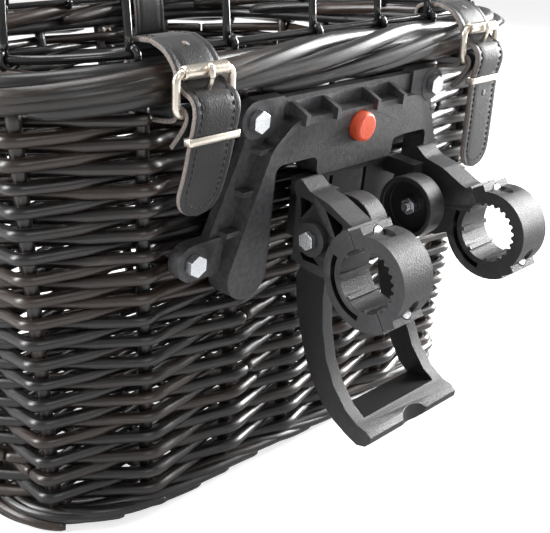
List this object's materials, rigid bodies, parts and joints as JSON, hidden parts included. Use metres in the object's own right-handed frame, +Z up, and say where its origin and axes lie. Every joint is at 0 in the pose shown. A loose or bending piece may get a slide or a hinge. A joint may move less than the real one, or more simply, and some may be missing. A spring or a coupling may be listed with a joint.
{
  "type": "dog bicycle basket",
  "caption": "Tapered wicker basket with a domed wire cage lid held by buckled straps, on a quick-release handlebar bracket with bar clamps and a hoop stay.",
  "frame": {"origin": "centre of the underside of the basket, on the ground plane", "axes": "+Z up, -Y towards the bracket and the handlebar, +X to the right seen from the bracket side"},
  "size_m": [0.444, 0.4496, 0.4308],
  "materials": {
    "willow": "black-stained woven willow, satin",
    "wire": "gloss black coated wire",
    "strap": "black strap leather, double stitched",
    "nickel": "champagne nickel plate",
    "plastic": "charcoal moulded plastic, satin",
    "button": "red-orange moulded plastic",
    "zinc": "bright zinc-plated steel"
  },
  "bodies": {
    "basket": {"wicker_wall": "willow", "rim_border": "willow", "foot_border": "willow", "basket_base": "willow", "adapter_plate": "plastic", "back_left_strap": "strap", "back_left_buckle_frame": "nickel", "back_left_keeper": "nickel", "back_right_strap": "strap", "back_right_buckle_frame": "nickel", "back_right_keeper": "nickel", "front_left_strap": "strap", "front_left_buckle_frame": "nickel", "front_left_keeper": "nickel", "front_right_strap": "strap", "front_right_buckle_frame": "nickel", "front_right_keeper": "nickel", "plate_bolt_upper_left": "zinc", "plate_washer_upper_left": "zinc", "plate_nut_upper_left": "zinc", "plate_bolt_lower_left": "zinc", "plate_washer_lower_left": "zinc", "plate_nut_lower_left": "zinc", "plate_bolt_upper_right": "zinc", "plate_washer_upper_right": "zinc", "plate_nut_upper_right": "zinc", "plate_bolt_lower_right": "zinc", "plate_washer_lower_right": "zinc", "plate_nut_lower_right": "zinc"},
    "lid": {"cage_lid": "wire"},
    "button": {"release_button": "button"},
    "bracket": {"carrier_body": "plastic", "left_arm": "plastic", "left_hub_disc": "plastic", "left_hub_bolt": "zinc", "left_hub_nut": "zinc", "right_arm": "plastic", "right_hub_disc": "plastic", "right_hub_bolt": "zinc", "right_hub_nut": "zinc"},
    "hoop": {"hoop_stay": "plastic"},
    "left_cap": {"left_clamp_cap": "plastic", "left_upper_screw": "zinc", "left_lower_screw": "zinc"},
    "right_cap": {"right_clamp_cap": "plastic", "right_upper_screw": "zinc", "right_lower_screw": "zinc"},
    "back_left_roller_body": {"back_left_roller": "nickel"},
    "back_left_prong_body": {"back_left_prong": "nickel"},
    "back_right_roller_body": {"back_right_roller": "nickel"},
    "back_right_prong_body": {"back_right_prong": "nickel"},
    "front_left_roller_body": {"front_left_roller": "nickel"},
    "front_left_prong_body": {"front_left_prong": "nickel"},
    "front_right_roller_body": {"front_right_roller": "nickel"},
    "front_right_prong_body": {"front_right_prong": "nickel"}
  },
  "joints": [
    {"name": "cage_hinge", "type": "hinge", "parent": "basket", "child": "lid", "pos_m": [0, -0.152, 0.26655], "axis": [1, 0, 0], "range_deg": [0, 90], "deforming": ["front_left_strap", "front_right_strap"]},
    {"name": "back_left_roller_spin", "type": "hinge", "parent": "basket", "child": "back_left_roller_body", "pos_m": [-0.124, -0.18068, 0.26], "axis": [1, 0, 0], "continuous": true},
    {"name": "back_left_prong_swing", "type": "hinge", "parent": "basket", "child": "back_left_prong_body", "pos_m": [-0.124, -0.17918, 0.24], "axis": [1, 0, 0], "range_deg": [0, 90], "deforming": ["back_left_strap"]},
    {"name": "back_right_roller_spin", "type": "hinge", "parent": "basket", "child": "back_right_roller_body", "pos_m": [0.116, -0.18068, 0.26], "axis": [1, 0, 0], "continuous": true},
    {"name": "back_right_prong_swing", "type": "hinge", "parent": "basket", "child": "back_right_prong_body", "pos_m": [0.116, -0.17918, 0.24], "axis": [1, 0, 0], "range_deg": [0, 90], "deforming": ["back_right_strap"]},
    {"name": "front_left_roller_spin", "type": "hinge", "parent": "basket", "child": "front_left_roller_body", "pos_m": [-0.124, 0.18068, 0.26], "axis": [1, 0, 0], "continuous": true},
    {"name": "front_left_prong_swing", "type": "hinge", "parent": "basket", "child": "front_left_prong_body", "pos_m": [-0.124, 0.17918, 0.24], "axis": [-1, 0, 0], "range_deg": [0, 90], "deforming": ["front_left_strap"]},
    {"name": "front_right_roller_spin", "type": "hinge", "parent": "basket", "child": "front_right_roller_body", "pos_m": [0.116, 0.18068, 0.26], "axis": [1, 0, 0], "continuous": true},
    {"name": "front_right_prong_swing", "type": "hinge", "parent": "basket", "child": "front_right_prong_body", "pos_m": [0.116, 0.17918, 0.24], "axis": [-1, 0, 0], "range_deg": [0, 90], "deforming": ["front_right_strap"]},
    {"name": "button_press", "type": "slide", "parent": "basket", "child": "button", "axis": [0, 0.989, 0.148], "range_m": [0, 0.004], "stiffness_N_per_m": 500, "springref_m": -0.002},
    {"name": "bracket_release", "type": "slide", "parent": "basket", "child": "bracket", "axis": [0, 0.148, -0.989], "range_m": [0, 0.03]},
    {"name": "hoop_pivot", "type": "hinge", "parent": "bracket", "child": "hoop", "pos_m": [0, -0.1946, 0.1644], "axis": [-1, 0, 0], "range_deg": [-12, 60]},
    {"name": "left_cap_slide", "type": "slide", "parent": "bracket", "child": "left_cap", "axis": [0, -0.9063, 0.4226], "range_m": [0, 0.011]},
    {"name": "right_cap_slide", "type": "slide", "parent": "bracket", "child": "right_cap", "axis": [0, -0.9063, 0.4226], "range_m": [0, 0.011]}
  ]
}
